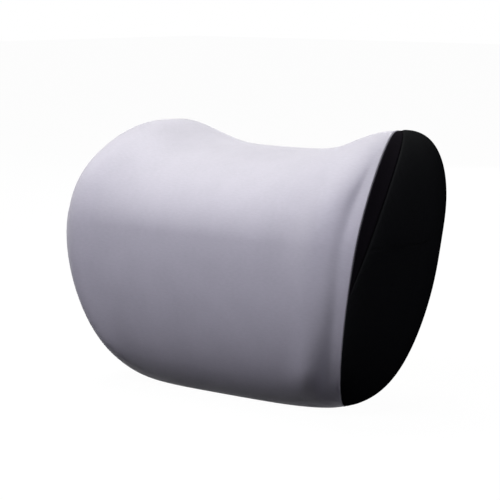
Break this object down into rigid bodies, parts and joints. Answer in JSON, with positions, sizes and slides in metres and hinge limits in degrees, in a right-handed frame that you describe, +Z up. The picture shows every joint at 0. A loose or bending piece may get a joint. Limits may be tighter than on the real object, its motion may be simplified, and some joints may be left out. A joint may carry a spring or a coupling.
{
  "type": "car neck pillow",
  "caption": "Headrest neck pillow with a dipped top between raised lobes, satin grey knit front, black side panels and a flat elastic strap across the back.",
  "frame": {"origin": "middle of the underside of the pillow's box, on the flat it stands on", "axes": "+X to the pillow's right end as seen from the front, -Y is the front that meets the neck, +Z up"},
  "size_m": [0.28, 0.1174, 0.1825],
  "materials": {
    "silver_knit": "satin fine knit",
    "smooth_black_knit": "smooth knit",
    "coarse_black_knit": "coarse matt knit",
    "foam": "open-cell foam",
    "elastic": "woven elastic"
  },
  "bodies": {
    "root": {"front_panel": "silver_knit", "back_panel": "coarse_black_knit", "side_panel_right": "smooth_black_knit", "side_panel_left": "smooth_black_knit", "side_insert_right": "coarse_black_knit", "side_insert_left": "coarse_black_knit", "foam_core": "foam", "elastic_strap": "elastic"}
  },
  "joints": []
}
